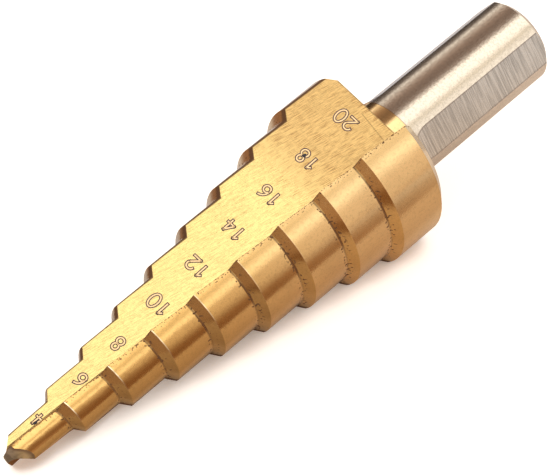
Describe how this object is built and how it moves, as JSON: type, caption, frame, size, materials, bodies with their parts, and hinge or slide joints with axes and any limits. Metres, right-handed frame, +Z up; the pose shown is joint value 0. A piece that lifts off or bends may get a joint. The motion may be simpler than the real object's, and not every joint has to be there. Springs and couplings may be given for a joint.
{
  "type": "step drill",
  "caption": "Step drill for holes from 4 to 20 mm, with relieved cutting steps, two straight flutes with size marks, a gold coat and a bare steel shank with chuck flats.",
  "frame": {"origin": "middle of the bottom of the part's box, on the surface it lies on", "axes": "+X along the drill towards the shank, level; +Z up from the surface; +Y away from the side that shows the size marks"},
  "size_m": [0.0748, 0.02, 0.017],
  "materials": {
    "body": "ground tool steel with a gold nitride coat on the cutting part and a bare shank"
  },
  "bodies": {
    "root": {"step_drill": "body"}
  },
  "joints": []
}
